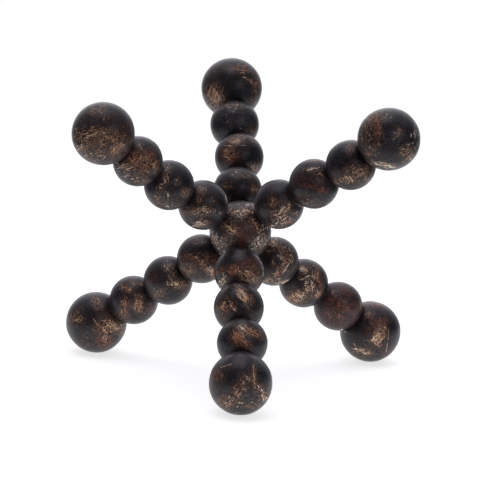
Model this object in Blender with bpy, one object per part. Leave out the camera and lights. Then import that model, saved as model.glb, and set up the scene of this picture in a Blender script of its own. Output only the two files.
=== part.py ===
# Decorative ball jack: six arms of turned wooden balls round a core ball, painted black and rubbed through.
# It stands on the end balls of its three lower arms. The front faces -Y. Lengths are in metres, +Z is up.

from math import radians, sqrt

import bmesh
import bpy
from mathutils import Quaternion, Vector

# Driving dimensions: two stock sizes of turned ball, and the distances between their centres
BALL_DIAMETER = 0.040
BEAD_DIAMETER = 0.032
CORE_PITCH = 0.0356
BEAD_PITCH = 0.0300
END_PITCH = 0.0334
BEADS_PER_ARM = 3
JOINT_GAP = 0.0003
FOOT_FLAT_RADIUS = 0.004

# How each arm stands, in degrees: its turn about the vertical counted from +X, its rise above level, and how far
# each step from ball to ball swings off the arm's line, seen from the front. Nods are the same towards the back.
# The balls were glued by eye, so no arm is quite straight and no two are quite alike.
ARMS = {
    "upper_left": {"turn": 213, "rise": 34, "swings": (0, -5, 2, 3)},
    "upper_right": {"turn": 331, "rise": 36, "swings": (-2, 3, 6, -1)},
    "upper_back": {"turn": 94, "rise": 37, "swings": (-2, 6, -7, -3)},
    "foot_left": {"turn": 153, "rise": -35, "swings": (-3, -1, 2, 1)},
    "foot_right": {"turn": 31, "rise": -36, "swings": (4, 0, -5, 1), "nods": (2, 4, -8, 2)},
    "foot_front": {"turn": 272, "rise": -37, "swings": (2, 1, -7, 3)},
}
FEET = ("foot_left", "foot_right", "foot_front")

# Rows of facets round and along a ball
SEGMENTS = 18
RINGS = 11
CORE_SEGMENTS = 20
CORE_RINGS = 10
CUT_TOLERANCE = 1e-7

# Plain colours of the rubbed paint, as sRGB, from the least worn balls to the most worn
BEAD_COLOUR = (58, 50, 47)
END_BALL_COLOUR = (63, 54, 51)
CORE_COLOUR = (70, 59, 54)
ROUGHNESS = 0.45

RIGHT = Vector((1, 0, 0))
BACK = Vector((0, 1, 0))
UP = Vector((0, 0, 1))


def clear_scene():
    for item in list(bpy.data.objects):
        bpy.data.objects.remove(item, do_unlink=True)


def linear(channel):
    """One sRGB channel, 0 to 255, as the linear value that a shader takes."""
    value = channel / 255
    if value <= 0.04045:
        return value / 12.92
    return ((value + 0.055) / 1.055) ** 2.4


def finish(name, colour):
    material = bpy.data.materials.new(name)
    material.use_nodes = True
    shader = material.node_tree.nodes["Principled BSDF"]
    shader.inputs["Base Color"].default_value = (*[linear(channel) for channel in colour], 1)
    shader.inputs["Roughness"].default_value = ROUGHNESS
    shader.inputs["Metallic"].default_value = 0
    return material


def arm_line(turn, rise):
    """The direction in which an arm leaves the core."""
    level = Quaternion(UP, radians(turn)) @ RIGHT
    side = level.cross(UP)
    return Quaternion(side, radians(rise)) @ level


def arm_steps(arm):
    """The direction of each step from ball to ball, out from the core."""
    line = arm_line(arm["turn"], arm["rise"])
    nods = arm.get("nods", (0,) * len(arm["swings"]))
    for swing, nod in zip(arm["swings"], nods):
        step = Quaternion(BACK, radians(swing)) @ line
        yield Quaternion(step.cross(BACK), radians(nod)) @ step


def lay_out_balls():
    """The name, centre and radius of each ball, with the core at the origin, and the pairs that are glued."""
    balls = {"core_ball": (Vector(), BALL_DIAMETER / 2)}
    glued = []
    pitches = [CORE_PITCH] + [BEAD_PITCH] * (BEADS_PER_ARM - 1) + [END_PITCH]
    for arm_name, arm in ARMS.items():
        inner = "core_ball"
        for number, (pitch, step) in enumerate(zip(pitches, arm_steps(arm)), start=1):
            is_bead = number <= BEADS_PER_ARM
            outer = f"{arm_name}_bead_{number}" if is_bead else f"{arm_name}_end_ball"
            radius = (BEAD_DIAMETER if is_bead else BALL_DIAMETER) / 2
            balls[outer] = (balls[inner][0] + step * pitch, radius)
            glued.append((inner, outer))
            inner = outer
    return balls, glued


def level_turn(balls):
    """The small turn that brings the three foot balls to one level."""
    left, right, front = [balls[f"{foot}_end_ball"][0] for foot in FEET]
    up = (right - front).cross(left - front)
    return up.rotation_difference(UP)


def joint_flats(balls, glued):
    """For each ball, the direction and distance of the flats that it is glued on, half the glue gap back."""
    flats = {name: [] for name in balls}
    for inner, outer in glued:
        inner_centre, inner_radius = balls[inner]
        outer_centre, outer_radius = balls[outer]
        across = outer_centre - inner_centre
        pitch = across.length
        inner_depth = (pitch**2 + inner_radius**2 - outer_radius**2) / (2 * pitch)
        outer_depth = pitch - inner_depth
        direction = across.normalized()
        flats[inner].append((direction, inner_depth - JOINT_GAP / 2))
        flats[outer].append((-direction, outer_depth - JOINT_GAP / 2))
    return flats


def cut_flat(bm, direction, distance):
    """Cuts the ball off square at a distance from its centre and closes it with one flat face."""
    cut = bmesh.ops.bisect_plane(
        bm,
        geom=bm.verts[:] + bm.edges[:] + bm.faces[:],
        dist=CUT_TOLERANCE,
        plane_co=direction * distance,
        plane_no=direction,
        clear_outer=True,
    )
    rim = [item for item in cut["geom_cut"] if isinstance(item, bmesh.types.BMEdge)]
    flat = bmesh.ops.contextual_create(bm, geom=rim)["faces"][0]
    flat.smooth = False
    for edge in flat.edges:
        edge.smooth = False


def make_ball(name, centre, radius, pole, facets, flats, material, parent):
    """A turned ball whose rings of facets run round its pole, with its flats cut."""
    turned = UP.rotation_difference(pole)
    bm = bmesh.new()
    segments, rings = facets
    bmesh.ops.create_uvsphere(bm, u_segments=segments, v_segments=rings, radius=radius)
    for face in bm.faces:
        face.smooth = True
    for direction, distance in flats:
        cut_flat(bm, turned.inverted() @ direction, distance)
    bmesh.ops.recalc_face_normals(bm, faces=bm.faces)
    mesh = bpy.data.meshes.new(name)
    bm.to_mesh(mesh)
    bm.free()
    mesh.materials.append(material)
    ball = bpy.data.objects.new(name, mesh)
    ball.rotation_mode = "QUATERNION"
    ball.rotation_quaternion = turned
    ball.location = centre
    ball.parent = parent
    bpy.context.collection.objects.link(ball)
    return ball


def make_jack_frame(turn):
    """An empty at the core's centre that carries every ball."""
    frame = bpy.data.objects.new("jack_frame", None)
    frame.rotation_mode = "QUATERNION"
    frame.rotation_quaternion = turn
    bpy.context.collection.objects.link(frame)
    return frame


def stand_at_origin(frame, made):
    """Moves the jack so that it stands on z = 0 with its box centred on the origin."""
    bpy.context.view_layer.update()
    corners = [ball.matrix_world @ vertex.co for ball in made for vertex in ball.data.vertices]
    for axis in range(2):
        low = min(corner[axis] for corner in corners)
        high = max(corner[axis] for corner in corners)
        frame.location[axis] = -(low + high) / 2
    frame.location.z = -min(corner.z for corner in corners)
    bpy.context.view_layer.update()


def build():
    clear_scene()
    balls, glued = lay_out_balls()
    flats = joint_flats(balls, glued)
    turn = level_turn(balls)
    frame = make_jack_frame(turn)
    down = turn.inverted() @ -UP

    ball_radius = BALL_DIAMETER / 2
    foot_depth = sqrt(ball_radius**2 - FOOT_FLAT_RADIUS**2)
    for foot in FEET:
        flats[f"{foot}_end_ball"].append((down, foot_depth))

    made = []
    for name, (centre, radius) in balls.items():
        pole = centre.normalized()
        facets = (SEGMENTS, RINGS)
        colour = BEAD_COLOUR
        if name == "core_ball":
            pole = balls["upper_back_bead_1"][0].normalized()
            facets = (CORE_SEGMENTS, CORE_RINGS)
            colour = CORE_COLOUR
        elif name.endswith("end_ball"):
            colour = END_BALL_COLOUR
            if name.startswith(FEET):
                pole = down
        material = finish(f"{name}_rubbed_paint", colour)
        made.append(make_ball(name, centre, radius, pole, facets, flats[name], material, frame))
    stand_at_origin(frame, made)


build()
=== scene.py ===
import bpy
import math
import random
import numpy as np
from mathutils import Matrix, Vector


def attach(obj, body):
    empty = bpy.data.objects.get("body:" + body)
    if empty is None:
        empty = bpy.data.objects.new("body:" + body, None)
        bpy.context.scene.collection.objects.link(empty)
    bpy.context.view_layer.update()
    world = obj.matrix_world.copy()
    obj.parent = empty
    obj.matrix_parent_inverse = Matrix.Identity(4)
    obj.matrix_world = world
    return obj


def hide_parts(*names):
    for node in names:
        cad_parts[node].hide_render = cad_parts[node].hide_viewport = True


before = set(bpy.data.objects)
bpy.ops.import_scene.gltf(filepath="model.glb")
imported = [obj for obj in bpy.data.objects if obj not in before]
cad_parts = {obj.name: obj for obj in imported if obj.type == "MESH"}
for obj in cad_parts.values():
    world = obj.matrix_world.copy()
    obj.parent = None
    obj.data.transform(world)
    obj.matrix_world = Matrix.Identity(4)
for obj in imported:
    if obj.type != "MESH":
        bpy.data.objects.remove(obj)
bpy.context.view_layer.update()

scene = bpy.context.scene

MM = 0.001

# Sizes of the turned balls, as in the solids
END_RADIUS = 20 * MM
BEAD_RADIUS = 16 * MM
GLUE_GAP = 0.3 * MM
# The painted ball stands proud of the solid, so that its edge before the white room reads as the photograph's
PAINT_FILM = 0.25 * MM

# The ball is turned from a cube cage: cuts along each edge, then smoothing
CAGE_CUTS = 10
SMOOTH_LEVELS = 2
UNEVEN = 0.10 * MM
UNEVEN_SEED = 4

# Edges that turn by more degrees than this stay sharp, as the joint faces' rims do
SHARP_ANGLE = 25
CUT_TOLERANCE = 0.001 * MM

# The photograph's eye: place, tilt down, roll and lens
EYE = Vector((0.33, -3012.7, 748.3)) * MM
EYE_TILT = 12.33
EYE_ROLL = 2.36
EYE_LENS = 354.4
SENSOR = 36.0

# Arms from the core outwards
ARMS = ("upper_left", "upper_right", "upper_back", "foot_left", "foot_right", "foot_front")
ARM_BALLS = ("bead_1", "bead_2", "bead_3", "end_ball")
CORE = "core_ball"

# Faces rubbed broader than where the spheres meet: ball, its neighbour, face radius in mm
BROAD_FACES = (
    ("upper_left_bead_3", "upper_left_end_ball", 8.2),
    ("upper_right_bead_1", "upper_right_bead_2", 8.0),
    ("foot_left_end_ball", "foot_left_bead_3", 9.6),
    ("foot_right_bead_3", "foot_right_bead_2", 8.2),
    ("foot_right_end_ball", "foot_right_bead_3", 9.6),
)

# Rubbed places on each ball as seen from the front, in hundredths of its radius: right, up, half length,
# half breadth. Then lay in degrees, and in hundredths wear and tone from red-brown 0 to pale 100.
# An eighth number says how far the strokes are parallel, where that isn't read off the place's own shape.
RUBBED = {
    "upper_left_end_ball": (
        (-45, 0, 50, 22, 10, 95, 66), (-20, -15, 22, 12, 30, 100, 56), (20, 5, 16, 6, 35, 100, 42),
        (45, -50, 34, 13, 40, 68, 50), (35, -22, 28, 20, 30, 80, 50), (-64, -38, 24, 16, 30, 90, 62),
        (-20, 74, 26, 12, 10, 75, 54), (-10, -58, 60, 26, 20, 75, 52), (0, 48, 40, 18, 0, 40, 40),
        (15, -10, 55, 30, 15, 75, 42, 30),
    ),
    "upper_left_bead_3": (
        (0, 10, 48, 34, 80, 80, 44), (20, -5, 30, 16, 20, 95, 50), (62, -20, 22, 10, 88, 75, 48),
        (45, 10, 22, 14, 80, 75, 44), (-34, -32, 34, 10, 10, 80, 72), (-55, -18, 24, 12, 20, 90, 66),
        (10, 60, 14, 12, 50, 70, 76), (-5, -65, 34, 16, 20, 65, 60), (32, -42, 20, 16, 60, 62, 40),
        (-46, -58, 26, 14, 20, 45, 78),
    ),
    "upper_left_bead_2": (
        (-5, 70, 16, 12, 60, 70, 76), (-6, 30, 26, 11, 75, 80, 60), (-20, 12, 20, 12, 50, 85, 66),
        (-40, -15, 18, 12, 30, 75, 74), (-2, -40, 20, 10, 70, 75, 76), (-35, -45, 25, 18, 20, 45, 60),
        (62, -30, 18, 14, 70, 65, 60), (35, 15, 16, 14, 50, 40, 55), (-10, -78, 50, 16, 0, 40, 62),
    ),
    "upper_left_bead_1": (
        (-10, 35, 42, 13, 88, 55, 42), (-5, 66, 16, 12, 80, 75, 68), (-5, -15, 34, 12, 5, 90, 54),
        (-6, -26, 22, 10, 30, 90, 70), (22, -30, 16, 10, 30, 75, 68), (-15, -72, 34, 12, 15, 90, 72),
        (55, -28, 10, 12, 60, 70, 84), (-50, -40, 26, 20, 0, 35, 50), (35, 20, 24, 24, 60, 25, 45),
    ),
    "upper_back_end_ball": (
        (-52, -32, 34, 22, 64, 100, 54), (-70, 0, 26, 12, 65, 70, 54), (30, 60, 36, 15, -8, 60, 48),
        (60, 20, 22, 7, -30, 75, 56), (80, -15, 30, 10, 80, 50, 50), (-45, 60, 25, 14, 30, 30, 40),
        (-42, -60, 30, 18, 60, 75, 60), (0, -5, 34, 26, 20, 16, 95),
    ),
    "upper_back_bead_3": (
        (-5, 72, 42, 16, 10, 45, 60), (65, -20, 18, 14, 40, 35, 38), (-15, 10, 15, 12, 40, 18, 38),
        (0, 0, 90, 90, 0, 15, 100),
    ),
    "upper_back_bead_2": (
        (-15, 70, 38, 15, 28, 80, 58), (-42, 16, 30, 24, 20, 85, 46), (-45, 46, 20, 5, 0, 75, 60),
        (-52, -4, 18, 8, -15, 80, 58), (-15, -5, 20, 14, 20, 55, 32), (55, -40, 13, 15, 60, 80, 60),
        (35, 72, 18, 12, 20, 60, 45),
    ),
    "upper_back_bead_1": (
        (-40, 25, 20, 12, 20, 65, 56), (25, 65, 20, 7, -10, 70, 58), (-12, 74, 16, 12, 50, 60, 74),
        (70, 5, 18, 16, 30, 90, 52), (60, 25, 14, 12, 60, 45, 40),
    ),
    "core_ball": (
        (12, 61, 40, 17, 20, 98, 68, 0), (-30, 64, 14, 12, 60, 80, 74), (-28, 6, 26, 15, -30, 100, 60),
        (50, 18, 34, 12, -55, 80, 48), (60, -34, 30, 20, 40, 95, 74, 0), (-76, -30, 38, 16, -60, 85, 78, 0),
        (-40, -30, 26, 16, 20, 80, 64), (78, 20, 24, 12, 70, 80, 82), (10, -5, 30, 25, 80, 35, 25),
        (20, 86, 45, 10, 5, 50, 70),
    ),
    "upper_right_end_ball": (
        (-50, 66, 22, 12, 20, 95, 48), (-45, 40, 24, 10, 85, 90, 38), (-34, 10, 30, 8, 85, 75, 38),
        (-60, -10, 26, 11, 85, 60, 50), (-64, -50, 26, 11, 110, 70, 46), (30, 25, 14, 11, 45, 65, 44),
        (46, -35, 22, 13, 30, 85, 58), (0, -86, 40, 8, -10, 95, 78), (60, -62, 22, 10, 42, 60, 58),
        (80, 10, 50, 12, 85, 50, 92), (-2, 75, 18, 12, 50, 45, 80), (-80, 20, 40, 12, 80, 50, 62),
        (5, -8, 42, 30, 20, 24, 100),
    ),
    "upper_right_bead_3": (
        (-12, -58, 34, 12, -42, 66, 58), (24, -26, 46, 22, 22, 66, 54, 30), (-5, -5, 16, 10, 20, 60, 34),
        (0, 70, 22, 15, 60, 40, 46), (58, -18, 20, 12, 30, 75, 46), (-45, -72, 22, 10, -20, 45, 50),
    ),
    "upper_right_bead_2": (
        (-2, 58, 40, 7, 4, 95, 70), (10, 90, 22, 6, 5, 60, 48), (12, 40, 18, 10, 20, 65, 48),
        (-65, 20, 18, 14, 40, 60, 26), (0, -10, 38, 9, -15, 60, 22), (32, -25, 17, 10, 10, 80, 25),
        (-50, -40, 30, 24, 20, 10, 60), (20, -80, 30, 14, 20, 25, 60),
    ),
    "upper_right_bead_1": (
        (12, -40, 46, 40, 50, 84, 60), (20, -26, 30, 18, 50, 100, 72), (-30, 10, 24, 15, 80, 65, 46),
        (0, -80, 42, 12, 20, 80, 60), (66, -36, 20, 12, 40, 50, 86), (42, 0, 20, 12, 30, 70, 55),
    ),
    "foot_left_end_ball": (
        (-60, 20, 22, 20, 60, 55, 56), (2, 62, 24, 14, -62, 65, 58), (36, -14, 36, 28, 60, 76, 48),
        (45, -34, 22, 12, 40, 95, 54), (30, -60, 24, 20, 60, 65, 34), (70, -22, 22, 15, -42, 80, 62),
        (28, 15, 22, 12, 10, 50, 40), (-15, -45, 25, 12, 20, 30, 45),
    ),
    "foot_left_bead_3": (
        (-26, 50, 26, 12, -20, 65, 48), (-15, 42, 12, 7, -30, 100, 58), (0, 76, 14, 12, 70, 50, 62),
        (20, -10, 38, 24, 68, 66, 52, 50), (-36, -16, 30, 12, 86, 80, 44), (-32, -52, 22, 20, 30, 34, 50),
        (64, 14, 20, 10, -45, 40, 50), (60, -52, 18, 6, 10, 45, 66), (28, 62, 18, 14, 60, 35, 46),
    ),
    "foot_left_bead_2": (
        (-2, 62, 26, 16, 78, 65, 72), (18, 28, 28, 14, 100, 60, 62), (30, -14, 26, 20, 10, 84, 60),
        (-35, -46, 28, 16, -20, 42, 64, 20), (62, -24, 20, 20, 30, 50, 40), (-20, 10, 30, 20, 30, 20, 34),
        (0, -12, 6, 10, 88, 80, 80),
    ),
    "foot_left_bead_1": (
        (-10, 70, 32, 15, 30, 40, 48), (0, 8, 62, 13, -4, 70, 34), (-20, 6, 14, 8, 30, 80, 68),
        (36, -42, 24, 15, -46, 85, 62, 30), (0, -20, 26, 20, 60, 65, 50), (-42, -40, 32, 24, 40, 45, 48),
        (10, -70, 24, 14, 30, 55, 55),
    ),
    "foot_front_end_ball": (
        (-70, 28, 17, 14, 60, 50, 42), (42, 8, 10, 8, 80, 100, 48), (15, 15, 22, 14, 60, 75, 48),
        (65, -28, 32, 13, -62, 90, 60), (-15, -28, 36, 15, 55, 85, 50), (-32, -55, 26, 18, 40, 55, 56),
        (40, -60, 24, 9, 10, 70, 58), (0, -62, 20, 12, 40, 55, 76), (-70, -50, 26, 12, -50, 45, 46),
    ),
    "foot_front_bead_3": (
        (14, 60, 28, 12, -25, 100, 50), (44, 46, 28, 10, -28, 90, 46), (-20, 30, 28, 14, 80, 100, 44),
        (6, 4, 28, 10, -38, 95, 36), (0, 60, 22, 8, -42, 100, 84), (5, 35, 22, 10, 60, 75, 50),
        (-2, 86, 12, 10, 40, 20, 82),
    ),
    "foot_front_bead_2": (
        (16, 50, 46, 18, -56, 95, 62), (-50, 10, 34, 26, 66, 78, 52), (-24, 2, 26, 8, -40, 70, 60),
        (42, 42, 26, 9, -50, 60, 46), (36, 2, 16, 10, -50, 50, 40), (-60, -30, 25, 12, 80, 40, 40),
    ),
    "foot_front_bead_1": (
        (-28, 14, 20, 15, 30, 100, 40), (36, -12, 36, 20, -20, 100, 58), (32, 28, 34, 20, 20, 45, 26),
        (-70, -32, 28, 14, 60, 85, 76), (-70, 12, 16, 10, 20, 60, 34), (2, 5, 18, 10, 85, 60, 60),
        (60, 5, 22, 20, 60, 85, 44), (-25, -20, 22, 14, 60, 45, 30),
    ),
    "foot_right_end_ball": (
        (20, 30, 28, 13, 20, 70, 40), (20, -22, 30, 22, 70, 95, 60), (44, 8, 32, 7, 86, 80, 50),
        (-30, -66, 24, 11, -20, 95, 64), (20, 85, 32, 11, -8, 55, 30), (-5, 60, 18, 12, 30, 55, 48),
        (46, -66, 14, 10, 80, 60, 46), (-2, 8, 24, 14, 40, 50, 30),
    ),
    "foot_right_bead_3": (
        (18, -6, 34, 22, -35, 66, 28), (-18, 60, 28, 10, -60, 55, 62), (-20, -35, 36, 26, 50, 50, 36),
        (32, 60, 34, 20, -30, 45, 26), (86, 5, 10, 16, 80, 40, 40),
    ),
    "foot_right_bead_2": (
        (0, 58, 22, 16, 0, 100, 70), (-14, 20, 12, 8, 10, 90, 66), (-30, -50, 40, 24, 20, 90, 52),
        (-15, -56, 22, 15, 40, 100, 68), (12, -20, 14, 12, 50, 90, 46), (60, -36, 20, 12, 66, 90, 48),
        (58, 24, 46, 12, 102, 70, 48), (16, 2, 22, 15, 90, 58, 80), (36, 18, 50, 12, 96, 74, 54),
        (34, -24, 30, 12, 92, 85, 56), (42, 60, 24, 10, -40, 60, 36), (10, -66, 16, 10, 30, 70, 60),
    ),
    "foot_right_bead_1": (
        (-6, 76, 28, 19, 30, 100, 70), (44, 34, 44, 24, 112, 84, 52), (58, -2, 42, 16, 70, 82, 52),
        (-16, 60, 34, 15, 20, 85, 50), (30, 14, 30, 12, 100, 95, 70), (14, -42, 36, 17, 46, 80, 48),
        (-10, -76, 36, 12, -8, 90, 64), (34, -86, 22, 7, 12, 90, 74), (-5, -10, 17, 6, 86, 70, 52),
        (-22, 42, 20, 14, 20, 65, 38), (45, -12, 26, 14, 60, 80, 44),
    ),
}

# Single long scratches, and a few pale lines at joint rims that are partly worn edge and glue, partly painted
# glints and highlights. In hundredths of the ball's radius: from right, up, to right, up.
# Then breadth in hundredths of a mm, and tone in hundredths.
SCRATCHES_AND_GLINTS = {
    "foot_front_end_ball": (
        (38, 66, 40, 36, 60, 55), (40, 40, 43, 10, 70, 60), (-66, 50, -26, 64, 30, 72),
        (13, -14, 19, -19, 90, 95), (14, -37, 20, -36, 90, 98), (2, -57, 10, -62, 90, 90),
        (-17, -70, -13, -74, 80, 85), (-53, -56, -49, -60, 80, 85),
    ),
    "foot_left_end_ball": (
        (-9, 15, 10, -11, 50, 62), (50, 0, 68, -22, 50, 60), (62, 0, 80, -22, 50, 62),
        (34, 2, 50, -20, 80, 56), (44, 6, 60, -14, 80, 58), (20, -16, 38, -36, 80, 54),
    ),
    "foot_right_end_ball": (
        (59, 12, 56, -30, 40, 50), (56, -28, 50, -70, 40, 60), (6, -10, 22, -36, 80, 68),
        (18, 2, 32, -24, 80, 66), (8, -36, 30, -12, 80, 66), (20, -42, 42, -16, 80, 62),
        # The last line below is a pale fleck at the joint rim: partly pale glue, partly a painted glint.
        (-58, -36, -48, -50, 60, 72), (-88, 2, -80, -2, 100, 100),
    ),
    "foot_right_bead_1": (
        (62, -4, 48, -28, 60, 82), (50, -25, 32, -52, 70, 88), (-12, 82, 4, 74, 200, 78),
        (-34, 60, -12, 72, 100, 64), (22, 28, 26, 4, 60, 74), (30, -88, 62, -74, 70, 78),
    ),
    "foot_right_bead_3": (
        (-34, 74, -38, 50, 30, 80), (-38, 50, -58, 24, 30, 86), (-58, 24, -88, 10, 30, 80),
        # The line below is a pale fleck at the joint rim: partly pale glue, partly a painted glint.
        (8, -97, 22, -94, 80, 100),
    ),
    "foot_right_bead_2": (
        (-16, 12, 6, 22, 70, 80), (4, 22, 28, 34, 80, 86), (-16, 64, 2, 54, 200, 80),
        (0, 56, 20, 50, 180, 78), (56, 48, 58, 10, 50, 60), (44, 42, 46, 12, 50, 58),
        (-50, -44, -34, -60, 80, 64), (-36, -36, -20, -54, 80, 66), (-24, -46, -6, -62, 80, 68),
        (-44, -64, -24, -74, 80, 62), (30, 14, 30, -8, 60, 70), (8, 12, 8, -4, 60, 80),
    ),
    "foot_front_bead_2": (
        (-12, 76, 12, 38, 80, 66), (0, 80, 24, 42, 90, 70), (12, 72, 34, 30, 80, 64),
        (26, 60, 42, 34, 50, 54), (0, 52, 18, 26, 70, 56), (16, 44, 32, 16, 80, 60),
        (-36, 18, -24, 0, 60, 66), (-26, 2, -10, -12, 60, 66), (-56, 30, -66, -10, 60, 56),
    ),
    "foot_front_bead_1": (
        (-3, 30, -4, 12, 60, 66), (-4, 14, 8, 0, 60, 60), (16, 0, 36, -22, 80, 56), (30, 2, 50, -20, 80, 56),
        (44, 6, 62, -14, 80, 50), (67, 69, 82, 51, 30, 86), (82, 51, 92, 30, 30, 90), (92, 30, 96, 7, 30, 90),
        (96, 7, 95, -17, 30, 86), (-78, -42, -56, -20, 60, 80), (-72, -52, -52, -30, 60, 76),
    ),
    "foot_front_bead_3": (
        (-16, 74, 4, 54, 80, 90), (-6, 64, 12, 54, 80, 86), (10, 76, 18, 60, 70, 70),
        (-30, 50, -24, 22, 80, 46), (-18, 44, -14, 16, 80, 46), (-10, 20, 10, 0, 80, 46),
        (5, 12, 24, -8, 80, 44), (14, 66, 40, 50, 80, 50), (34, 52, 60, 36, 70, 46), (4, 50, 32, 40, 80, 48),
    ),
    "upper_back_end_ball": (
        (-68, -42, -56, 0, 80, 62), (-58, -50, -48, -10, 80, 68), (-46, -58, -40, -22, 80, 66),
        (-80, -26, -64, 12, 70, 62), (-32, -46, -50, -16, 70, 66), (-22, -34, -44, -10, 40, 60),
        (46, 30, 70, 14, 30, 56), (16, 74, 46, 72, 50, 44), (12, 60, 52, 54, 50, 42),
    ),
    "upper_back_bead_2": (
        (6, 47, 32, 48, 30, 74), (-34, 60, 2, 78, 60, 66), (-30, 52, 8, 72, 60, 62),
        (-62, 47, -24, 46, 40, 62), (-64, 2, -40, -2, 70, 62),
    ),
    "upper_right_bead_3": (
        (-38, -46, -20, -72, 40, 66), (-24, -42, -4, -70, 50, 74), (-10, -42, 10, -68, 50, 76),
        (-50, -54, -34, -74, 40, 58), (6, -36, 42, -14, 50, 56),
    ),
    "upper_right_bead_2": (
        (-38, 52, -6, 56, 60, 82), (-20, 62, 16, 60, 60, 78), (22, 42, 34, 26, 50, 62),
    ),
    "upper_right_bead_1": (
        (2, -40, 24, -6, 80, 72), (-6, -46, 12, -16, 70, 66), (16, -36, 40, -14, 70, 70),
        # Both lines below lie on the rim of the broad face by the next bead: partly worn edge, partly a
        # painted highlight.
        (52, 10, 74, -4, 30, 92), (74, -4, 96, -15, 30, 92),
    ),
    "upper_right_end_ball": (
        (-46, -80, -10, -86, 50, 80), (-16, -82, 20, -90, 60, 86), (-36, -72, -6, -78, 50, 74),
        (48, -70, 74, -44, 50, 60),
    ),
    "upper_left_end_ball": (
        (-72, -6, -42, 0, 70, 64), (-46, -12, -16, -2, 70, 64), (-26, 2, 2, 8, 70, 58),
        (10, -2, 28, 12, 80, 42), (36, -66, 66, -36, 60, 52), (30, -56, 56, -34, 50, 56),
        (24, -62, 44, -46, 50, 50), (-10, -30, 8, -18, 50, 60),
    ),
    "upper_left_bead_3": (
        # The first line below lies at the joint rim: partly dried glue, partly a painted glint.
        (-95, 2, -72, -15, 50, 90), (62, -6, 64, -30, 90, 50), (-52, -36, -16, -24, 80, 70),
        (-64, -20, -32, -10, 80, 62), (-30, -4, -4, 8, 80, 56), (6, 66, 16, 50, 60, 82),
    ),
    "upper_left_bead_2": (
        (-4, 36, -2, 20, 50, 68), (-6, -30, 2, -48, 60, 84), (56, -18, 64, -38, 50, 62),
    ),
    "upper_left_bead_1": (
        # The first line below lies at the rim by the joint with the core: partly worn edge, partly a painted
        # highlight.
        (88, 44, 97, 6, 40, 100), (-30, -66, 2, -74, 60, 76), (-20, -80, 12, -78, 60, 72),
        (-20, 14, -18, 38, 50, 45),
    ),
    "foot_left_bead_3": (
        (16, 10, 8, -24, 50, 58), (24, 2, 34, -36, 50, 52), (36, -6, 22, -44, 50, 52),
        (10, -20, 0, -46, 50, 50), (-20, 50, -8, 38, 80, 60), (-30, 4, -34, -34, 70, 44),
    ),
    "foot_left_bead_2": (
        (20, -4, 36, -10, 70, 70), (24, -18, 44, -14, 70, 68), (-2, 0, -2, -22, 60, 84),
        (-16, 62, -10, 50, 60, 82),
    ),
    "foot_left_bead_1": (
        (22, -34, 46, -60, 60, 68), (34, -30, 54, -54, 50, 62), (-26, 10, -10, 2, 60, 72),
    ),
    "core_ball": (
        (4, 60, 20, 70, 90, 72), (-42, 20, -18, -4, 100, 62), (-36, 4, -12, 0, 90, 62),
        (40, 36, 58, 4, 70, 50), (-22, 62, 0, 68, 90, 72), (14, 72, 34, 60, 90, 72),
    ),
}

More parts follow.
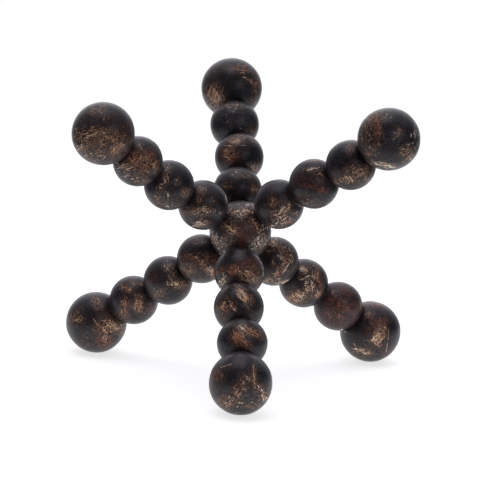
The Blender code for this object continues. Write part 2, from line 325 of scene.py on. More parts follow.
# Soft places where the brown stain glows through thin paint, in hundredths of the ball's radius:
# right, up, half length, half breadth. Then lay in degrees, and strength in hundredths.
STAINED = {
    "upper_left_end_ball": (
        (-5, -20, 85, 40, -10, 50), (-57, -42, 17, 12, 20, 90), (0, -12, 34, 13, 0, 75),
        (42, -45, 30, 20, 40, 70), (-23, 72, 22, 10, 10, 80),
    ),
    "upper_left_bead_3": (
        (13, 3, 53, 38, 0, 88), (70, -17, 14, 22, 0, 100), (-62, -20, 25, 12, 0, 70),
        (12, -75, 30, 15, 0, 45),
    ),
    "upper_left_bead_2": (
        (-15, 25, 45, 16, 88, 50), (69, -29, 20, 17, 0, 50), (0, -70, 60, 20, 0, 35),
    ),
    "upper_left_bead_1": (
        (-12, 35, 38, 12, 85, 52), (0, 58, 15, 15, 0, 45), (-5, -28, 50, 15, 0, 80),
        (-5, -75, 32, 12, 10, 90), (-75, -25, 25, 20, 0, 35),
    ),
    "upper_back_end_ball": (
        (-60, -20, 30, 20, 60, 75), (-46, -35, 20, 15, 60, 95), (35, 60, 40, 14, -5, 40),
        (80, -5, 40, 12, 85, 40), (62, 20, 20, 8, -30, 50), (-40, -58, 32, 22, 50, 60),
    ),
    "upper_back_bead_3": (
        (-6, 75, 40, 15, 0, 50), (70, -23, 15, 15, 0, 30), (0, 0, 90, 90, 0, 22),
    ),
    "upper_back_bead_2": (
        (-38, 8, 28, 28, 0, 85), (-12, 67, 42, 18, 25, 80), (58, 75, 25, 15, -30, 45),
        (60, -43, 17, 15, 0, 90),
    ),
    "upper_back_bead_1": (
        (-43, 20, 20, 13, 0, 45), (38, 60, 22, 8, -10, 60), (67, 10, 17, 15, 0, 50), (0, 75, 30, 12, 0, 30),
    ),
    "core_ball": (
        (-28, 6, 30, 18, -30, 90), (50, 18, 32, 11, -55, 75), (10, -10, 30, 40, 0, 40),
        (-40, -30, 30, 20, 20, 55), (60, -34, 30, 20, 40, 50), (8, 66, 48, 12, 5, 65),
    ),
    "upper_right_end_ball": (
        (-46, 60, 26, 18, 20, 90), (-40, 32, 26, 11, 85, 90), (-75, 10, 50, 22, 85, 34),
        (-50, -35, 30, 20, 0, 40), (29, 23, 13, 13, 0, 50), (52, -38, 20, 17, 0, 85),
        (-17, -84, 45, 10, -8, 75), (80, -40, 30, 12, 60, 45), (5, -8, 44, 32, 20, 34),
    ),
    "upper_right_bead_3": (
        (-6, 64, 15, 20, 0, 45), (-17, -23, 13, 12, 0, 60), (40, -30, 40, 20, 20, 75),
        (-6, -58, 38, 15, -10, 55), (-52, -64, 22, 12, 0, 50), (64, -58, 25, 15, 40, 45),
    ),
    "upper_right_bead_2": (
        (-10, 52, 32, 10, 0, 60), (6, 90, 25, 7, 0, 60), (0, 12, 50, 20, 0, 26), (-6, -12, 42, 10, -12, 50),
        (35, -26, 19, 10, 0, 90), (-52, -46, 35, 20, 0, 16), (-10, -75, 40, 15, 0, 30),
    ),
    "upper_right_bead_1": (
        (12, -35, 42, 32, 30, 45), (-23, 6, 15, 20, 0, 55), (40, -64, 20, 15, 0, 60),
        (-10, -87, 40, 10, 0, 45), (-58, -23, 15, 30, 0, 12),
    ),
    "foot_left_end_ball": (
        (35, -17, 36, 26, 30, 46), (30, -58, 22, 20, 0, 58), (-67, 15, 20, 18, 0, 40),
        (6, 64, 28, 16, -60, 50), (80, -17, 15, 25, 0, 60), (-40, -70, 40, 15, 0, 10),
    ),
    "foot_left_bead_3": (
        (-30, 46, 26, 11, -25, 95), (0, 70, 15, 15, 0, 50), (20, -17, 22, 34, 0, 70),
        (-35, -23, 32, 16, 85, 65), (-46, -64, 30, 20, 0, 28), (64, -35, 20, 20, 0, 30),
    ),
    "foot_left_bead_2": (
        (35, -15, 32, 16, -10, 75), (0, 58, 20, 20, 0, 45), (17, 23, 15, 30, 0, 45),
        (-35, -52, 30, 18, 30, 40), (-64, 12, 30, 30, 0, 14),
    ),
    "foot_left_bead_1": (
        (0, 0, 70, 18, -4, 50), (-23, 6, 13, 9, 0, 60), (12, -29, 22, 16, 0, 65), (40, -52, 24, 15, -45, 95),
        (-52, -40, 35, 25, 0, 45), (-12, 75, 25, 12, 0, 45),
    ),
    "foot_front_end_ball": (
        (-70, 26, 16, 15, 0, 42), (43, 17, 6, 36, 0, 80), (-6, -29, 36, 14, 50, 45),
        (70, -29, 30, 12, -60, 60), (-46, -58, 35, 20, 0, 40), (17, 17, 20, 12, 0, 40),
        (-40, 52, 30, 12, 15, 8), (40, -70, 30, 10, 0, 40),
    ),
    "foot_front_bead_3": (
        (10, 52, 34, 15, -20, 130), (48, 42, 30, 12, -30, 110), (-16, 28, 24, 20, 80, 150),
        (10, 4, 26, 12, -38, 140),
    ),
    "foot_front_bead_2": (
        (26, 50, 40, 16, -55, 75), (-58, 0, 28, 22, 0, 55), (-23, 6, 20, 8, -45, 75),
        (46, 42, 22, 10, -50, 50),
    ),
    "foot_front_bead_1": (
        (-23, 10, 21, 17, 0, 130), (35, -17, 36, 22, -25, 130), (35, 35, 35, 20, 0, 50),
        (-70, 6, 20, 15, 0, 55), (-64, -40, 22, 15, 60, 70),
    ),
    "foot_right_end_ball": (
        (29, -6, 36, 20, 80, 62), (17, -30, 22, 14, 0, 62), (-23, -64, 30, 10, -15, 90),
        (29, 35, 25, 10, 0, 55), (17, 87, 30, 8, 0, 65), (0, 55, 12, 12, 0, 50),
    ),
    "foot_right_bead_3": (
        (0, -6, 95, 95, 0, 20), (17, -6, 42, 14, -25, 70), (5, 20, 60, 10, -20, 45),
        (-10, -36, 55, 12, -18, 40), (-17, 52, 30, 10, -60, 50), (30, 64, 35, 15, -30, 50),
        (98, 0, 8, 20, 0, 60),
    ),
    "foot_right_bead_2": (
        (-3, 55, 18, 13, 0, 100), (58, 23, 46, 10, 100, 80), (15, 23, 20, 15, 0, 50),
        (15, -26, 14, 13, 0, 95), (-23, -55, 40, 22, 15, 90), (58, -40, 20, 12, 60, 95),
    ),
    "foot_right_bead_1": (
        (-3, 75, 19, 14, 0, 100), (40, 35, 44, 18, 112, 48), (29, -29, 36, 14, 55, 65),
        (-17, -75, 32, 12, 0, 75), (52, -81, 25, 7, 12, 90), (-3, 0, 6, 17, 0, 50),
    ),
}

# Column of the lay in the rubbed and stained places
LAY = 4

# Brown glow that a rubbed place has round it, as a share of its wear
GLOW_ROUND_WEAR = 0.32

# Tone of paint that isn't rubbed, and the weight it has beside rubbed places
UNRUBBED_TONE = 0.4
UNRUBBED_WEIGHT = 1e-6

# How rubbed and stained places fade from their middles, and what a second rubbed one adds to the first
MARK_FADE = 0.7
MARK_POWER = 2.6
STAIN_POWER = 2.4
OVERLAP = 0.25

# How squarely a point has to face a side before that side's marks start, and before they are full.
# To a point that hardly faces a side, its places count as this many times their size farther off.
TURNED_AWAY = -0.1
TURNED_FULLY = 0.12
HARDLY_FACING = 0.01
COUNTS_FARTHER = 50

# Every place reads its strokes this many mm along and across from the last one's
STROKE_SHIFT = (53.0, 17.0)

# No line among the scratches and glints is felt farther off than this many mm. A point past a line's end
# counts as farther from it. The line's solid core is this share of its breadth to either side.
FAR_OFF = 9.0
PAST_END = 1.5
SCRATCH_AND_GLINT_CORE = 0.4

# Sides that the photograph doesn't show get this many rubbed places each, drawn from a seed per ball.
# They begin where a point faces the eye less than the second of these two amounts, in full below the first.
HIDDEN_SIDES = ((0, 1, 0), (1, 0, 0.2), (-1, 0, -0.2), (0, 0.3, 1), (0, -0.3, -1))
HIDDEN_PLACES = 2
FRONT_ENDS = (-0.15, 0.1)
FIRST_SEED = 100

# Corners this near the farthest one lie on a solid's sphere, and the sphere's fit is repeated this often
ON_SPHERE = 0.02 * MM
FIT_ROUNDS = 14


def deselect_all():
    """Lets go of everything, because the solids arrive selected."""
    for item in bpy.context.selected_objects:
        item.select_set(False)


def from_hundredths(places, lay=None):
    """Turns places written in hundredths into plain numbers; the column of the lay stays in degrees."""
    return [[n if i == lay else n / 100 for i, n in enumerate(place)] for place in places]


def pick(piece):
    """Makes one piece the only selected and active one."""
    deselect_all()
    piece.select_set(True)
    bpy.context.view_layer.objects.active = piece


def points_of(piece):
    """The piece's vertices as rows of x, y, z."""
    flat = np.zeros(len(piece.data.vertices) * 3)
    piece.data.vertices.foreach_get("co", flat)
    return flat.reshape(-1, 3)


def ball_middle(node):
    """Middle and radius of the sphere that a faceted solid's corners lie on."""
    points = points_of(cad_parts[node])
    keep = np.ones(len(points), bool)
    for _ in range(FIT_ROUNDS):
        system = np.c_[2 * points[keep], np.ones(keep.sum())]
        answer = np.linalg.lstsq(system, (points[keep] ** 2).sum(1), rcond=None)[0]
        middle = answer[:3]
        away = np.linalg.norm(points - middle, axis=1)
        keep = away > away.max() - ON_SPHERE
    return Vector(middle), float(away[keep].mean())


def turn_ball(name, radius):
    """Turns one ball at the origin: a cube cage rounded, left slightly uneven, and smoothed."""
    deselect_all()
    bpy.ops.mesh.primitive_cube_add(size=2 * radius, location=(0, 0, 0))
    ball = bpy.context.object
    ball.name = name
    bpy.ops.object.mode_set(mode="EDIT")
    bpy.ops.mesh.subdivide(number_cuts=CAGE_CUTS)
    bpy.ops.transform.tosphere(value=1.0)
    bpy.ops.mesh.select_all(action="SELECT")
    bpy.ops.transform.vertex_random(offset=UNEVEN, uniform=0.0, normal=1.0, seed=UNEVEN_SEED)
    bpy.ops.object.mode_set(mode="OBJECT")
    smooth = ball.modifiers.new("smooth", "SUBSURF")
    smooth.levels = SMOOTH_LEVELS
    smooth.render_levels = SMOOTH_LEVELS
    bpy.ops.object.modifier_apply(modifier="smooth")
    true_size = radius / np.linalg.norm(points_of(ball), axis=1).mean()
    ball.scale = (true_size,) * 3
    bpy.ops.object.transform_apply(location=False, rotation=False, scale=True)
    return ball


def place_copy(pattern, name, middle, turn):
    """Copies a turned ball, turns it its own way and sets it at its place, with the place in its mesh."""
    copy = pattern.copy()
    copy.data = pattern.data.copy()
    copy.name = name
    copy.data.name = name
    scene.collection.objects.link(copy)
    copy.rotation_euler = turn
    copy.location = middle
    pick(copy)
    bpy.ops.object.transform_apply(location=True, rotation=True, scale=True)
    return copy


def cut_face(ball, point, outwards):
    """Cuts a flat face on a ball and closes it."""
    pick(ball)
    bpy.ops.object.mode_set(mode="EDIT")
    bpy.ops.mesh.select_all(action="SELECT")
    bpy.ops.mesh.bisect(plane_co=point, plane_no=outwards, use_fill=True, clear_outer=True,
                        threshold=CUT_TOLERANCE)
    bpy.ops.mesh.select_all(action="DESELECT")
    bpy.ops.object.mode_set(mode="OBJECT")


def smoothstep(value, low, high):
    """0 below low, 1 above high and a soft step between."""
    share = np.clip((value - low) / (high - low), 0, 1)
    return share * share * (3 - 2 * share)


def side_axes(outwards, roll):
    """Right, up and outwards axes of a side of a ball that is looked at squarely."""
    out = Vector(outwards).normalized()
    across = Vector((0, 0, 1)).cross(out)
    across.normalize()
    up = out.cross(across)
    turned = Matrix.Rotation(roll, 3, out)
    return np.array(turned @ across), np.array(turned @ up), np.array(out)


class Rubbing:
    """Gathers wear, tone, brown glow and the strokes' own places over one ball's vertices."""

    def __init__(self, ball, middle, radius):
        self.ball = ball
        self.normals = (points_of(ball) - np.array(middle)) / radius
        self.size_mm = radius / MM
        count = len(self.normals)
        self.wear = np.zeros(count)
        self.glow = np.zeros(count)
        self.weight = np.full(count, UNRUBBED_WEIGHT)
        self.tone = np.full(count, UNRUBBED_TONE * UNRUBBED_WEIGHT)
        self.nearest = np.full(count, np.inf)
        self.place = np.zeros((count, 3))
        self.placed = 0
        self.gap = np.full(count, FAR_OFF)
        self.scratch_and_glint = np.tile((FAR_OFF, -FAR_OFF, 0.5), (count, 1))

    def facing(self, axes, gate):
        """How fully each point shows on the side that axes look at."""
        return smoothstep(self.normals @ axes[2], TURNED_AWAY, TURNED_FULLY) * gate

    def measure(self, axes, x, y, half_long, half_broad, tilt):
        """Distances along and across a place's lay, and how far out that is as a share of its size."""
        angle = math.radians(tilt)
        aside = self.normals @ axes[0] - x
        above = self.normals @ axes[1] - y
        along = aside * math.cos(angle) + above * math.sin(angle)
        across = above * math.cos(angle) - aside * math.sin(angle)
        return along, across, np.hypot(along / half_long, across / half_broad)

    def rub(self, axes, places, gate):
        """Rubs places given in ball radii right and up on the side that axes look at."""
        facing = self.facing(axes, gate)
        for x, y, half_long, half_broad, tilt, wear, tone, *order in places:
            along, across, reach = self.measure(axes, x, y, half_long, half_broad, tilt)
            worn = np.exp(-MARK_FADE * reach ** MARK_POWER) * facing * wear
            self.wear = np.maximum(self.wear, worn) + OVERLAP * np.minimum(self.wear, worn)
            self.glow = np.maximum(self.glow, np.exp(-0.5 * reach ** 2) * facing * wear * GLOW_ROUND_WEAR)
            self.weight += worn
            self.tone += worn * tone
            parallel = order[0] if order else min(1.0, half_long / half_broad - 1.0)
            closeness = reach / wear + (facing < HARDLY_FACING) * COUNTS_FARTHER
            closer = closeness < self.nearest
            self.nearest[closer] = closeness[closer]
            self.place[closer, 0] = along[closer] * self.size_mm + STROKE_SHIFT[0] * self.placed
            self.place[closer, 1] = across[closer] * self.size_mm + STROKE_SHIFT[1] * self.placed
            self.place[closer, 2] = parallel
            self.placed += 1

    def stain(self, axes, places, gate):
        """Lets the brown stain glow through in soft places."""
        facing = self.facing(axes, gate)
        for *spot, strength in places:
            reach = self.measure(axes, *spot)[2]
            self.glow = np.maximum(self.glow, np.exp(-MARK_FADE * reach ** STAIN_POWER) * facing * strength)

    def draw(self, axes, lines):
        """Draws single scratches and the pale joint-rim lines that carry painted glints, as the distance
        across and past the end of the nearest one.
        """
        right, up, out = axes
        facing = self.normals @ out > 0
        for x0, y0, x1, y1, breadth, tone in lines:
            reach = math.hypot(x1 - x0, y1 - y0)
            run_x, run_y = (x1 - x0) / reach, (y1 - y0) / reach
            aside = self.normals @ right - (x0 + x1) / 2
            above = self.normals @ up - (y0 + y1) / 2
            left_over = (reach / 2 - np.abs(aside * run_x + above * run_y)) * self.size_mm
            distance = (above * run_x - aside * run_y) * self.size_mm
            past = np.hypot(distance, np.minimum(left_over, 0) * PAST_END)
            closer = (past < self.gap) & facing
            self.gap[closer] = past[closer]
            self.scratch_and_glint[closer, 0] = distance[closer] / (breadth * SCRATCH_AND_GLINT_CORE)
            self.scratch_and_glint[closer, 1] = left_over[closer]
            self.scratch_and_glint[closer, 2] = tone

    def keep(self):
        """Writes what was gathered into the ball's mesh."""
        rub = np.c_[np.clip(self.wear, 0, 1.2), self.tone / self.weight, self.glow]
        for name, values in (("rub", rub), ("stroke_place", self.place), ("scratch_and_glint", self.scratch_and_glint)):
            store = self.ball.data.attributes.new(name, "FLOAT_VECTOR", "POINT")
            store.data.foreach_set("vector", values.astype(np.float32).ravel())


def linear(hex_colour):
    """An sRGB hex colour as linear red, green, blue and alpha."""
    parts = [int(hex_colour[i:i + 2], 16) / 255 for i in (1, 3, 5)]
    return tuple(c / 12.92 if c <= 0.04045 else ((c + 0.055) / 1.055) ** 2.4 for c in parts) + (1.0,)


def add(tree, kind, inputs=(), **settings):
    """Adds a node with its settings. Its inputs come in their own order, or by name or number. Each is
    a value, a socket, or a node whose first output is linked."""
    node = tree.nodes.new("ShaderNode" + kind)
    for key, value in settings.items():
        setattr(node, key, value)
    if not isinstance(inputs, dict):
        inputs = dict(enumerate(inputs))
    for key, value in inputs.items():
        if isinstance(value, bpy.types.Node):
            value = value.outputs[0]
        if isinstance(value, bpy.types.NodeSocket):
            tree.links.new(value, node.inputs[key])
        else:
            node.inputs[key].default_value = value
    return node


# Strokes of the rubbing: spacing along and across in mm, turn in degrees, share of wear,
# and how much it keeps to places with parallel strokes, 1, or to criss-cross ones, -1
STROKE_LAYERS = (
    (2.4, 0.85, 35, 0.45, -1.0),
    (1.8, 0.85, -55, 0.45, -1.0),
    (1.4, 0.90, 10, 0.40, -0.8),
    (4.5, 0.90, 80, 0.35, -1.0),
    (4.0, 0.90, -28, 0.40, -0.6),
    (8.0, 0.95, 8, 0.75, 1.0),
    (5.5, 0.95, -7, 0.70, 0.3),
    (3.2, 0.90, 3, 0.50, 0.0),
)

# A stroke in its cell: least half breadth, what chance adds, soft edge, and the dark paint left beside it
STROKE_LEAST = 0.20
STROKE_MORE = 0.20
STROKE_EDGE = 0.09
DARK_REACH = 0.24
DARK_EDGE = 0.12

# Strokes waver by this many mm over patches of this size in mm. Each layer's cells are moved by these many of
# its own cells, and the strands by this many mm, so that no two patterns line up.
WAVER = 1.6
WAVER_SIZE = 2.2
CELLS_APART = (3.7, 5.3)
STRANDS_APART = (31.0, 12.0, 0)

# Patches in the paint: size in mm, contrast, offset, detail, roughness, and a shift that keeps them apart
PATCHES = {
    "ragged": (2.4, 1.0, 0.0, 3.0, 0.60, (0, 0, 0)),
    "stray": (6.0, 1.2, -0.6, 2.0, 0.50, (0, 0, 0)),
    "broken": (1.6, 2.4, -0.2, 2.0, 0.50, (20, 3, 8)),
    "fleck": (1.1, 6.0, -2.5, 2.0, 0.70, (7, 1, 30)),
    "cloud": (4.5, 2.4, -0.7, 3.0, 0.60, (50, 4, 9)),
    "speck": (0.95, 14.0, -8.4, 1.0, 0.50, (90, 14, 40)),
    # The mottle below, spread in larger patches by the haze, is partly the paint's own uneven tone and partly
    # a painted patchy sheen
    "mottle_and_sheen": (1.2, 4.8, -1.9, 3.0, 0.75, (11, 2, 6)),
    "haze": (8.0, 2.0, -0.3, 2.0, 0.50, (3, 60, 5)),
    "wash": (6.5, 3.4, -1.5, 3.0, 0.60, (25, 6, 44)),
    "grain": (0.6, 1.0, 0.0, 2.0, 0.70, (1, 2, 3)),
}

# Strands where the paint is thin, laid as the strokes are: along and across in mm, turn in degrees,
# contrast and offset
STRANDS = {
    "weave": (2.4, 0.75, 0, 5.0, -2.05),
    "crossing": (1.8, 0.75, 62, 5.0, -2.2),
    "gaps": (2.4, 1.05, 33, -7.0, 4.0),
}

# Colours by tone, from red-brown to pale: of bare wood in the strokes, and of stained wood under thin paint
BARE_WOOD = (
    (0.00, "#161011"), (0.14, "#3c2320"), (0.28, "#784a3c"), (0.42, "#b0785c"),
    (0.56, "#d6a681"), (0.70, "#eacaac"), (0.85, "#f6e7d6"), (1.00, "#fffaf4"),
)
STAINED_WOOD = (
    (0.00, "#5a3e3c"), (0.16, "#8c5853"), (0.30, "#c0755e"), (0.42, "#d69474"),
    (0.55, "#d0a383"), (0.70, "#b69a88"), (0.88, "#918583"), (1.00, "#70707a"),
)
BLACK_PAINT = "#07080d"
BROWN_WASH = "#231719"
# Lavender grey of the mottle: partly the paint's own tone, partly a painted sheen
GREY_MOTTLE_AND_SHEEN = "#3b383e"
DARK_PAINT = "#100d0e"
PAINT_IOR = 1.36
BUMP_STRENGTH = 0.7
BUMP_DEPTH = 0.08 * MM


def rubbed_paint():
    """Satin black paint over dark red-brown stained wood, rubbed through by hand in short strokes:
    the eye gets near-black balls with soft grey rims and copper to straw-coloured clusters of scratches,
    a few pale joint-rim lines that carry painted glints, and a grey mottle that is partly a painted patchy
    sheen."""
    material = bpy.data.materials.new("satin_black_paint_rubbed_to_brown_wood")
    material.use_nodes = True
    tree = material.node_tree
    tree.nodes.clear()

    coords = add(tree, "TexCoord").outputs["Object"]
    in_mm = add(tree, "VectorMath", {0: coords, "Scale": 1 / MM}, operation="SCALE")
    kept = {}
    for name in ("rub", "stroke_place", "scratch_and_glint"):
        kept[name] = add(tree, "Attribute", attribute_name=name).outputs["Vector"]
    wear, tone, glow = add(tree, "SeparateXYZ", (kept["rub"],)).outputs
    order = add(tree, "SeparateXYZ", (kept["stroke_place"],)).outputs[2]
    line_across, line_left, line_tone = add(tree, "SeparateXYZ", (kept["scratch_and_glint"],)).outputs

    patch = {}
    for name, (size_mm, contrast, offset, detail, rough, shift) in PATCHES.items():
        place = add(tree, "VectorMath", (in_mm, shift), operation="ADD")
        inputs = {"Vector": place, "Scale": 1 / size_mm, "Detail": detail, "Roughness": rough}
        cloudy = add(tree, "TexNoise", inputs)
        inputs = (cloudy, contrast, offset)
        patch[name] = add(tree, "Math", inputs, operation="MULTIPLY_ADD", use_clamp=True)

    # Strokes and strands waver a little off their place's own direction
    inputs = {"Vector": in_mm, "Scale": 1 / WAVER_SIZE, "Detail": 2.0}
    waver = add(tree, "TexNoise", inputs).outputs["Color"]
    waver = add(tree, "VectorMath", (waver, (0.5, 0.5, 0.5)), operation="SUBTRACT")
    waver = add(tree, "VectorMath", {0: waver, "Scale": WAVER}, operation="SCALE")
    wavy_place = add(tree, "VectorMath", (kept["stroke_place"], waver), operation="ADD")

    strand = {}
    for name, (long, broad, turn, contrast, offset) in STRANDS.items():
        place = add(tree, "Mapping", {
            "Vector": wavy_place,
            "Location": STRANDS_APART,
            "Rotation": (0, 0, math.radians(turn)),
            "Scale": (long, broad, 1),
        }, vector_type="TEXTURE")
        inputs = {"Vector": place, "Scale": 1.0, "Detail": 2.0, "Roughness": 0.6}
        streaky = add(tree, "TexNoise", inputs, noise_dimensions="2D")
        inputs = (streaky, contrast, offset)
        strand[name] = add(tree, "Math", inputs, operation="MULTIPLY_ADD", use_clamp=True)

    # Ragged edges for the rubbed places, and a few stray strokes elsewhere
    inside = add(tree, "Math", (wear, 4.0), operation="MULTIPLY", use_clamp=True)
    wear_here = add(tree, "Math", (wear, 1.15, -0.7), operation="MULTIPLY_ADD")
    wear_here = add(tree, "Math", (patch["ragged"], 1.4, wear_here), operation="MULTIPLY_ADD")
    wear_here = add(tree, "Math", (wear_here, inside), operation="MULTIPLY")
    wear_here = add(tree, "Math", (wear_here, patch["stray"]), operation="MAXIMUM")
    wear_here = add(tree, "Math", (wear_here, 1.0), operation="MINIMUM")

    # Each stroke is a thin ellipse in a cell of its own, laid along its place's own direction
    covered = 0.0
    left_dark = 0.0
    stroke_tone = add(tree, "Math", (tone, 0.4), operation="MULTIPLY")
    for long, broad, turn, share, keeps_to in STROKE_LAYERS:
        place = add(tree, "Mapping", {
            "Vector": wavy_place,
            "Location": (long * CELLS_APART[0], broad * CELLS_APART[1], 0),
            "Rotation": (0, 0, math.radians(turn)),
            "Scale": (long, broad, 1),
        }, vector_type="TEXTURE")
        cells = add(tree, "TexVoronoi", {"Vector": place, "Scale": 1.0}, voronoi_dimensions="2D")
        luck, size, shade = add(tree, "SeparateXYZ", (cells.outputs["Color"],)).outputs
        likely = add(tree, "Math", (order, keeps_to, 1 - max(keeps_to, 0)), operation="MULTIPLY_ADD")
        likely = add(tree, "Math", (likely, share), operation="MULTIPLY")
        likely = add(tree, "Math", (wear_here, likely), operation="MULTIPLY")
        shown = add(tree, "Math", (likely, luck), operation="SUBTRACT")
        shown = add(tree, "Math", (shown, 7.0), operation="MULTIPLY", use_clamp=True)
        reach = add(tree, "Math", (size, STROKE_MORE, STROKE_LEAST), operation="MULTIPLY_ADD")
        inwards = add(tree, "Math", (reach, cells.outputs["Distance"]), operation="SUBTRACT")
        stroke = add(tree, "Math", (inwards, STROKE_EDGE), operation="DIVIDE", use_clamp=True)
        stroke = add(tree, "Math", (stroke, shown), operation="MULTIPLY")
        beside = add(tree, "Math", (inwards, DARK_REACH), operation="ADD")
        beside = add(tree, "Math", (beside, DARK_EDGE), operation="DIVIDE", use_clamp=True)
        beside = add(tree, "Math", (beside, shown), operation="MULTIPLY")
        left_dark = add(tree, "Math", (left_dark, beside), operation="MAXIMUM")
        own_tone = add(tree, "Math", (shade, 0.9, 0.66), operation="MULTIPLY_ADD")
        own_tone = add(tree, "Math", (tone, own_tone), operation="MULTIPLY")
        stroke_tone = add(tree, "Mix", {0: stroke, 2: stroke_tone, 3: own_tone})
        covered = add(tree, "Math", (covered, stroke), operation="MAXIMUM")

    # Flecks of paint left inside the strokes
    flecked = add(tree, "Math", (patch["fleck"], 1.80, 0.06), operation="MULTIPLY_ADD")
    covered = add(tree, "Math", (covered, flecked), operation="MULTIPLY", use_clamp=True)
    fuller = add(tree, "Math", (wear_here, 0.55, 0.45), operation="MULTIPLY_ADD")
    covered = add(tree, "Math", (covered, fuller), operation="MULTIPLY")

    # Single scratches and the pale joint-rim lines that carry painted glints, crisp because their distances
    # are kept in the mesh
    line_across = add(tree, "Math", (line_across,), operation="ABSOLUTE")
    line = add(tree, "Math", (1.15, line_across), operation="SUBTRACT", use_clamp=True)
    line = add(tree, "Math", (line, 2.5), operation="MULTIPLY", use_clamp=True)
    line_ends = add(tree, "Math", (line_left, 1.2), operation="MULTIPLY", use_clamp=True)
    line = add(tree, "Math", (line_ends, line), operation="MULTIPLY")
    line = add(tree, "Math", (line, patch["broken"]), operation="MULTIPLY")
    stroke_tone = add(tree, "Mix", {0: line, 2: stroke_tone, 3: line_tone})
    covered = add(tree, "Math", (covered, line), operation="MAXIMUM")

    # Fine pale specks where the brown glows
    speck = add(tree, "Math", (glow, 1.8, -0.4), operation="MULTIPLY_ADD", use_clamp=True)
    speck = add(tree, "Math", (patch["speck"], speck), operation="MULTIPLY")
    pale = add(tree, "Math", (tone, 1.15), operation="MULTIPLY")
    stroke_tone = add(tree, "Mix", {0: speck, 2: stroke_tone, 3: pale})
    speck = add(tree, "Math", (speck, 0.9), operation="MULTIPLY")
    covered = add(tree, "Math", (covered, speck), operation="MAXIMUM")

    # Paint worn thin round the strokes, where the stained wood glows through
    cloud = add(tree, "Math", (patch["cloud"], 0.6, 0.5), operation="MULTIPLY_ADD")
    thin = add(tree, "Math", (glow, cloud), operation="MULTIPLY")
    criss_cross = add(tree, "Math", (1.0, order), operation="SUBTRACT")
    crossing = add(tree, "Math", (strand["crossing"], criss_cross), operation="MULTIPLY")
    weave = add(tree, "Math", (strand["weave"], crossing), operation="MAXIMUM")
    weave = add(tree, "Math", (weave, 1.25, 0.04), operation="MULTIPLY_ADD")
    thin = add(tree, "Math", (thin, weave), operation="MULTIPLY", use_clamp=True)
    paler = add(tree, "Math", (tone, 2.2, -0.1), operation="MULTIPLY_ADD", use_clamp=True)
    gaps = add(tree, "Math", (strand["gaps"], paler), operation="MULTIPLY")
    gaps = add(tree, "Math", (gaps, -1.0, 1.15), operation="MULTIPLY_ADD")
    thin = add(tree, "Math", (thin, gaps), operation="MULTIPLY", use_clamp=True)

    wood = []
    for shade, stops in ((stroke_tone, BARE_WOOD), (tone, STAINED_WOOD)):
        scale = add(tree, "ValToRGB", (shade,))
        stains = scale.color_ramp.elements
        stains[0].position = stops[0][0]
        stains[0].color = linear(stops[0][1])
        stains[1].position = stops[-1][0]
        stains[1].color = linear(stops[-1][1])
        for place, colour in stops[1:-1]:
            stains.new(place).color = linear(colour)
        wood.append(scale)
    bare_wood, stained_wood = wood

    # Layers from the bottom up: how far each covers, and its colour
    # Grey mottle in patches of haze: partly the paint's own uneven tone, partly a painted patchy sheen
    mottle_and_sheen = add(tree, "Math", (patch["mottle_and_sheen"], patch["haze"]), operation="MULTIPLY")
    left_dark = add(tree, "Math", (left_dark, 0.75), operation="MULTIPLY")
    layers = (
        (patch["wash"], linear(BROWN_WASH)), (mottle_and_sheen, linear(GREY_MOTTLE_AND_SHEEN)), (thin, stained_wood),
        (left_dark, linear(DARK_PAINT)), (covered, bare_wood),
    )
    colour = linear(BLACK_PAINT)
    for cover, layer in layers:
        colour = add(tree, "Mix", {0: cover, 6: colour, 7: layer}, data_type="RGBA").outputs[2]

    roughness = add(tree, "Math", (covered, 0.15, 0.27), operation="MULTIPLY_ADD")
    roughness = add(tree, "Math", (patch["grain"], 0.16, roughness), operation="MULTIPLY_ADD")
    height = add(tree, "Math", (patch["grain"], 0.5), operation="MULTIPLY")
    height = add(tree, "Math", (covered, -0.55, height), operation="MULTIPLY_ADD")
    bump = add(tree, "Bump", {"Strength": BUMP_STRENGTH, "Distance": BUMP_DEPTH, "Height": height})
    inputs = {"Base Color": colour, "Roughness": roughness, "Normal": bump, "IOR": PAINT_IOR}
    surface = add(tree, "BsdfPrincipled", inputs)
    add(tree, "OutputMaterial", {"Surface": surface})
    return material


def joint_face(middle, radius, other, other_radius, broad):
    """Point and direction of the face towards a neighbour: half the glue gap back, or as broad as asked."""
    towards = other - middle
    apart = towards.length
    crossing = (apart ** 2 + radius ** 2 - other_radius ** 2) / (2 * apart)
    out = crossing - GLUE_GAP / 2
    if broad is not None:
        out = math.sqrt(radius ** 2 - broad ** 2)
    return middle + towards / apart * out, towards / apart


def eye_turn():
    """How the photograph's eye is turned."""
    tilt = Matrix.Rotation(math.radians(90 - EYE_TILT), 3, "X")
    return tilt @ Matrix.Rotation(math.radians(EYE_ROLL), 3, "Z")


def rub_hidden_sides(rubbing, front, dice):
    """Rubs a few places on each side that the photograph doesn't show."""
    hidden = 1.0 - smoothstep(rubbing.normals @ front[2], *FRONT_ENDS)
    for side in HIDDEN_SIDES:
        axes = side_axes(side, dice.uniform(-0.6, 0.6))
        tone = dice.uniform(0.25, 0.6)
        spots = []
        for _ in range(HIDDEN_PLACES):
            spots.append((
                dice.uniform(-0.6, 0.6), dice.uniform(-0.6, 0.6), dice.uniform(0.2, 0.5),
                dice.uniform(0.1, 0.3), dice.uniform(0, 180), dice.uniform(0.5, 1.0),
                tone + dice.uniform(-0.1, 0.2),
            ))
        rubbing.rub(axes, spots, hidden)
        for x, y, half_long, half_broad, tilt, wear, _ in spots:
            glow_place = (x, y, half_long * 1.1, half_broad * 1.3, tilt, wear * dice.uniform(0.5, 1.0))
            rubbing.stain(axes, (glow_place,), hidden)


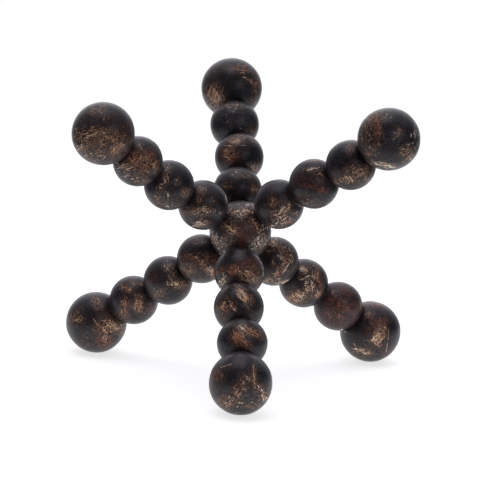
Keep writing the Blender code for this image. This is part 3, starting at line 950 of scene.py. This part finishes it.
def make_balls():
    """Sets a turned, flat-faced and rubbed ball in place of each solid."""
    names = [CORE] + [f"{arm}_{ball}" for arm in ARMS for ball in ARM_BALLS]
    places = {name: ball_middle(name) for name in names}
    joints = []
    for arm in ARMS:
        chain = [CORE] + [f"{arm}_{ball}" for ball in ARM_BALLS]
        joints += list(zip(chain, chain[1:]))
    broad = {(a, b): face * MM for a, b, face in BROAD_FACES}
    patterns = {
        END_RADIUS: turn_ball("turned_end_ball", END_RADIUS + PAINT_FILM),
        BEAD_RADIUS: turn_ball("turned_bead", BEAD_RADIUS + PAINT_FILM),
    }
    eye = eye_turn()
    front = [np.array(eye.col[i]) for i in range(3)]
    paint = rubbed_paint()
    for index, name in enumerate(names):
        dice = random.Random(FIRST_SEED + index)
        middle, radius = places[name]
        size = END_RADIUS if radius > (END_RADIUS + BEAD_RADIUS) / 2 else BEAD_RADIUS
        turn = [dice.uniform(-math.pi, math.pi) for _ in range(3)]
        ball = place_copy(patterns[size], name + "_turned", middle, turn)
        for a, b in joints:
            if name in (a, b):
                other = b if name == a else a
                face = joint_face(middle, radius, *places[other], broad.get((name, other)))
                cut_face(ball, *face)
        if name.startswith("foot_") and name.endswith("end_ball"):
            cut_face(ball, (0, 0, 0), (0, 0, -1))
        pick(ball)
        bpy.ops.object.shade_smooth_by_angle(angle=math.radians(SHARP_ANGLE))

        rubbing = Rubbing(ball, middle, size + PAINT_FILM)
        rubbing.rub(front, from_hundredths(RUBBED[name], LAY), 1.0)
        rubbing.stain(front, from_hundredths(STAINED[name], LAY), 1.0)
        rub_hidden_sides(rubbing, front, dice)
        rubbing.draw(front, from_hundredths(SCRATCHES_AND_GLINTS.get(name, ())))
        rubbing.keep()
        ball.data.materials.clear()
        ball.data.materials.append(paint)
        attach(ball, "root")
        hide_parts(name)
    for pattern in patterns.values():
        bpy.data.objects.remove(pattern)


# Half breadth, nearest and farthest reach of the small white table, as the balls mirror it
TABLE_HALF = 0.32
TABLE_FRONT = -0.30
TABLE_BACK = 0.75

# White of the paper, and the light it gives back so that only the shade at the feet is darker than the room
PAPER_WHITE = 0.72
PAPER_LIGHT = 0.69


def make_floor():
    """A small white lit table that fills the view; beyond it the room is as white to the eye."""
    deselect_all()
    bpy.ops.mesh.primitive_plane_add(size=1.0, location=(0, (TABLE_FRONT + TABLE_BACK) / 2, 0))
    floor = bpy.context.object
    floor.name = "studio_floor"
    floor.scale = (2 * TABLE_HALF, TABLE_BACK - TABLE_FRONT, 1)
    pick(floor)
    bpy.ops.object.transform_apply(location=True, rotation=False, scale=True)
    material = bpy.data.materials.new("matt_white_studio_paper")
    material.use_nodes = True
    surface = material.node_tree.nodes["Principled BSDF"].inputs
    surface["Base Color"].default_value = (PAPER_WHITE, PAPER_WHITE, PAPER_WHITE, 1)
    surface["Roughness"].default_value = 1.0
    surface["Specular IOR Level"].default_value = 0.0
    surface["Emission Color"].default_value = (1, 1, 1, 1)
    surface["Emission Strength"].default_value = PAPER_LIGHT
    floor.data.materials.append(material)


# Point on the object that the softboxes are aimed at
AIM = Vector((0, 0, 0.1))

# Strength of the white sweep behind the object, of the dim room round it and of the white that the eye sees,
# and the tint of the light that the object gets
SWEEP = 1.85
DIM_ROOM = 0.09
SEEN_WHITE = 1.0
ROOM_TINT = (1.0, 0.985, 1.07, 1)


def hang_softbox(name, middle, breadth, depth, watts, colour):
    """Hangs a rectangular softbox that is aimed at the object's middle."""
    lamp = bpy.data.lights.new(name, "AREA")
    lamp.shape = "RECTANGLE"
    lamp.size = breadth
    lamp.size_y = depth
    lamp.energy = watts
    lamp.color = colour
    softbox = bpy.data.objects.new(name, lamp)
    softbox.location = middle
    softbox.rotation_euler = (AIM - softbox.location).to_track_quat("-Z", "Y").to_euler()
    scene.collection.objects.link(softbox)


def make_light():
    """An overhead softbox, a weaker one at the front right that throws the feet's shadows to the
    left, a white sweep up behind the object and a dim room at the other sides."""
    hang_softbox("overhead_softbox", middle=(-0.2, -0.05, 2.0), breadth=1.1, depth=1.0, watts=4.6,
                 colour=(1.0, 0.92, 1.02))
    hang_softbox("front_softbox", middle=(1.3, -1.9, 1.2), breadth=1.6, depth=1.2, watts=7.0,
                 colour=(0.97, 0.97, 1.05))

    world = bpy.data.worlds.new("white_studio")
    scene.world = world
    world.use_nodes = True
    tree = world.node_tree
    tree.nodes.clear()
    way = add(tree, "TexCoord").outputs["Generated"]
    right, back, up = add(tree, "SeparateXYZ", (way,)).outputs
    aside = add(tree, "Math", (right, 0.04), operation="ADD")
    aside = add(tree, "Math", (aside,), operation="ABSOLUTE")

    # The sweep fades to the sides, the front, the floor and overhead: direction, where the fade starts,
    # where it ends, and the share of light at its start and its end
    sweep = SWEEP
    fades = (
        (aside, 0.08, 0.90, 1, 0), (back, -0.35, 0.1, 0, 1),
        (up, -0.1, 0.3, 0.6, 1), (up, 0.35, 1, 1, 0.55),
    )
    for fade_inputs in fades:
        fade = add(tree, "MapRange", fade_inputs)
        sweep = add(tree, "Math", (sweep, fade), operation="MULTIPLY")
    around = add(tree, "Math", (sweep, DIM_ROOM), operation="ADD")
    seen = add(tree, "LightPath").outputs["Is Camera Ray"]
    strength = add(tree, "Mix", {0: seen, 2: around, 3: SEEN_WHITE})
    tint = add(tree, "Mix", {0: seen, 6: ROOM_TINT, 7: (1, 1, 1, 1)}, data_type="RGBA")
    glow = add(tree, "Background", {"Color": tint.outputs[2], "Strength": strength})
    add(tree, "OutputWorld", {"Surface": glow})


def make_camera():
    """The photograph's view: a long lens from the front, slightly above and slightly rolled."""
    lens = bpy.data.cameras.new("photo_view")
    lens.lens = EYE_LENS
    lens.sensor_width = SENSOR
    lens.clip_start = 0.1
    lens.clip_end = 60
    camera = bpy.data.objects.new("photo_view", lens)
    camera.matrix_world = Matrix.Translation(EYE) @ eye_turn().to_4x4()
    scene.collection.objects.link(camera)
    scene.camera = camera


make_balls()
make_floor()
make_light()
make_camera()
scene.view_settings.view_transform = "Standard"
